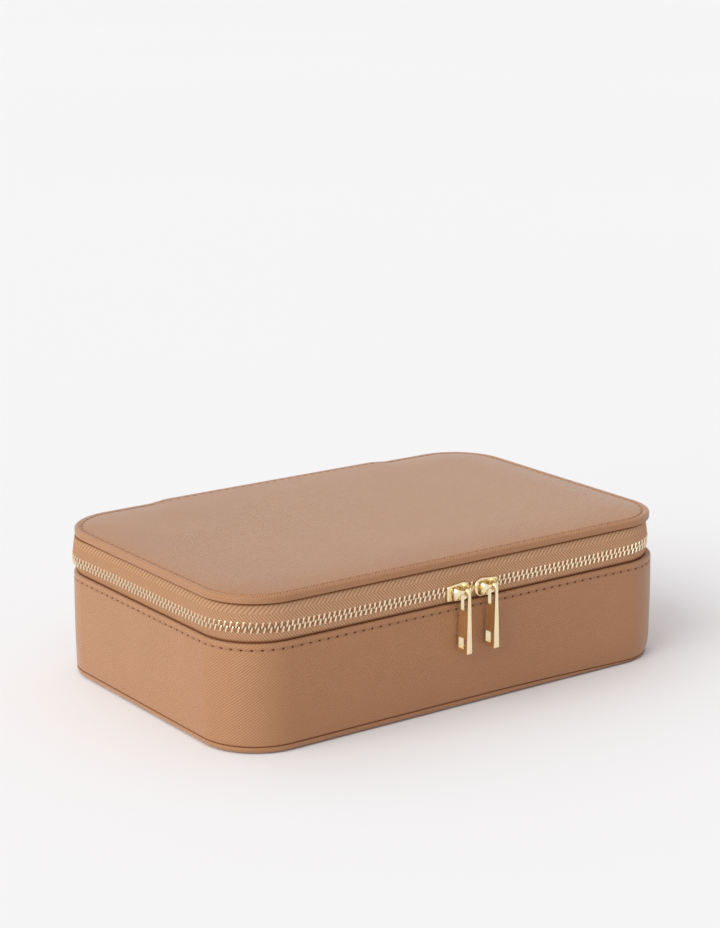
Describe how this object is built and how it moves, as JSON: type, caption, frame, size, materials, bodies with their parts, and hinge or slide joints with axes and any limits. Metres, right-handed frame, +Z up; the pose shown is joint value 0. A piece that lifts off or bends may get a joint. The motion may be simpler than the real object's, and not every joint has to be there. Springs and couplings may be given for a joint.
{
  "type": "jewellery case",
  "caption": "Low rectangular leather jewellery case with round corners, a zip all round, a padded hinged lid, slider pulls, dividers, ring rolls and a mirror.",
  "frame": {"origin": "centre of the underside, on the surface the case stands on", "axes": "+X along the width to the right seen from the front, -Y towards the front, +Z up"},
  "size_m": [0.24, 0.1633, 0.07],
  "materials": {
    "leather": "fine crosshatch grain, semi-matte",
    "foam": "plain foam",
    "board": "raw board",
    "suede": "soft brushed suede",
    "zip_tape": "herringbone woven tape",
    "zip_metal": "light gold, satin",
    "gold": "polished gold plate",
    "mirror": "silvered"
  },
  "bodies": {
    "base": {"base_wall_cover": "leather", "base_wall_foam": "foam", "base_wall_board": "board", "base_wall_lining": "suede", "bottom_cover": "leather", "bottom_board": "board", "floor_pad": "suede", "hinge_strip": "leather", "zip_tape_lower": "zip_tape", "zip_teeth_lower": "zip_metal", "zip_stops_lower": "zip_metal", "divider_long": "suede", "divider_cross": "suede", "divider_short": "suede", "ring_bed": "foam", "ring_roll_1": "suede", "ring_roll_2": "suede", "ring_roll_3": "suede", "ring_roll_4": "suede", "ring_roll_5": "suede", "ring_roll_6": "suede", "ring_roll_7": "suede"},
    "lid": {"lid_cover": "leather", "lid_foam": "foam", "lid_board": "board", "lid_frame": "board", "lid_lining": "suede", "mirror_glass": "mirror", "mirror_frame": "suede", "zip_tape_upper": "zip_tape", "zip_teeth_upper": "zip_metal", "zip_stops_upper": "zip_metal"},
    "slider_left": {"slider_left_body": "gold", "slider_left_crown": "gold"},
    "slider_right": {"slider_right_body": "gold", "slider_right_crown": "gold"},
    "pull_left": {"pull_left": "gold"},
    "pull_right": {"pull_right": "gold"}
  },
  "joints": [
    {"name": "lid_hinge", "type": "hinge", "parent": "base", "child": "lid", "pos_m": [0, 0.0775, 0.0542], "axis": [-1, 0, 0], "range_deg": [0, 105], "deforming": ["hinge_strip"]},
    {"name": "slider_left_slide", "type": "slide", "parent": "base", "child": "slider_left", "axis": [-1, 0, 0], "range_m": [0, 0.08]},
    {"name": "slider_right_slide", "type": "slide", "parent": "base", "child": "slider_right", "axis": [1, 0, 0], "range_m": [0, 0.077]},
    {"name": "pull_left_swing", "type": "hinge", "parent": "slider_left", "child": "pull_left", "pos_m": [-0.006, -0.08227, 0.0542], "axis": [-1, 0, 0], "range_deg": [0, 120]},
    {"name": "pull_right_swing", "type": "hinge", "parent": "slider_right", "child": "pull_right", "pos_m": [0.009, -0.08227, 0.0542], "axis": [-1, 0, 0], "range_deg": [0, 120]}
  ]
}
